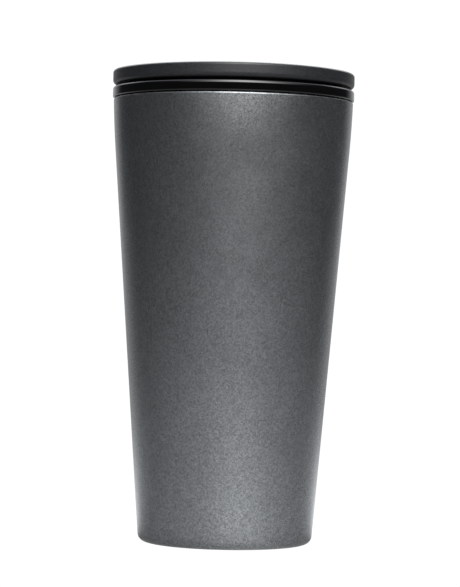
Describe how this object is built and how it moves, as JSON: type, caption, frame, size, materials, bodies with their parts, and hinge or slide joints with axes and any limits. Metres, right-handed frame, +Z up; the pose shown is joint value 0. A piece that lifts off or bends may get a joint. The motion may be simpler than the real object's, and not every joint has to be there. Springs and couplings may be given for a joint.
{
  "type": "insulated drinks tumbler",
  "caption": "Tall tapered double-walled steel drinks tumbler with a screw-in lid whose flat round cap turns to open a drinking gap all round.",
  "frame": {"origin": "centre of the base, on the table", "axes": "+Z up along the tumbler's axis, out of the mouth; +X to the right and -Y to the front, where the round object has no front of its own but the cap's turn mark"},
  "size_m": [0.09, 0.09, 0.175],
  "materials": {
    "powder_coat": "fine matt powder coat",
    "cap_coat": "fine matt powder coat, darker than the body",
    "bare_steel": "satin",
    "copper_foil": "plain copper foil, inside the vacuum",
    "getter_metal": "pressed powder",
    "solder_glass": "fused bead",
    "dark_silicone": "matt",
    "grey_silicone": "matt",
    "gloss_black": "polished",
    "black_plastic": "fine spark-eroded",
    "acetal": "natural, as moulded"
  },
  "bodies": {
    "cup": {"outer_shell": "powder_coat", "inner_liner": "bare_steel", "base_plate": "bare_steel", "radiation_foil": "copper_foil", "getter_cup": "bare_steel", "getter_pellet": "getter_metal", "vacuum_seal_bead": "solder_glass", "foot_pad": "dark_silicone"},
    "lid_seal": {"lid_gasket": "dark_silicone"},
    "lid": {"drinking_collar": "gloss_black", "lid_core": "black_plastic", "spindle": "acetal", "spindle_screw": "bare_steel", "spindle_washer": "dark_silicone"},
    "valve": {"valve_bowl": "black_plastic", "valve_seal": "grey_silicone", "stem_seal": "dark_silicone", "swivel_ring": "bare_steel"},
    "cap": {"cam_nut": "acetal", "cap_base": "black_plastic", "cap_top": "cap_coat", "cap_screws": "bare_steel", "splash_seal": "dark_silicone"}
  },
  "joints": [
    {"name": "lid_lift", "type": "slide", "parent": "cup", "child": "lid_seal", "axis": [0, 0, 1], "range_m": [0, 0.0241]},
    {"name": "lid_turn", "type": "hinge", "parent": "lid_seal", "child": "lid", "pos_m": [0, 0, 0.1644], "axis": [0, 0, 1], "range_deg": [0, 540]},
    {"name": "valve_lift", "type": "slide", "parent": "lid", "child": "valve", "axis": [0, 0, 1], "range_m": [0, 0.00401]},
    {"name": "cap_turn", "type": "hinge", "parent": "valve", "child": "cap", "pos_m": [0, 0, 0.1644], "axis": [0, 0, 1], "range_deg": [0, 90]}
  ],
  "couplings": [
    {"joint": "lid_lift", "follows": "lid_turn", "m_per_rad": 0.0025465},
    {"joint": "valve_lift", "follows": "cap_turn", "m_per_rad": 0.0025465}
  ]
}
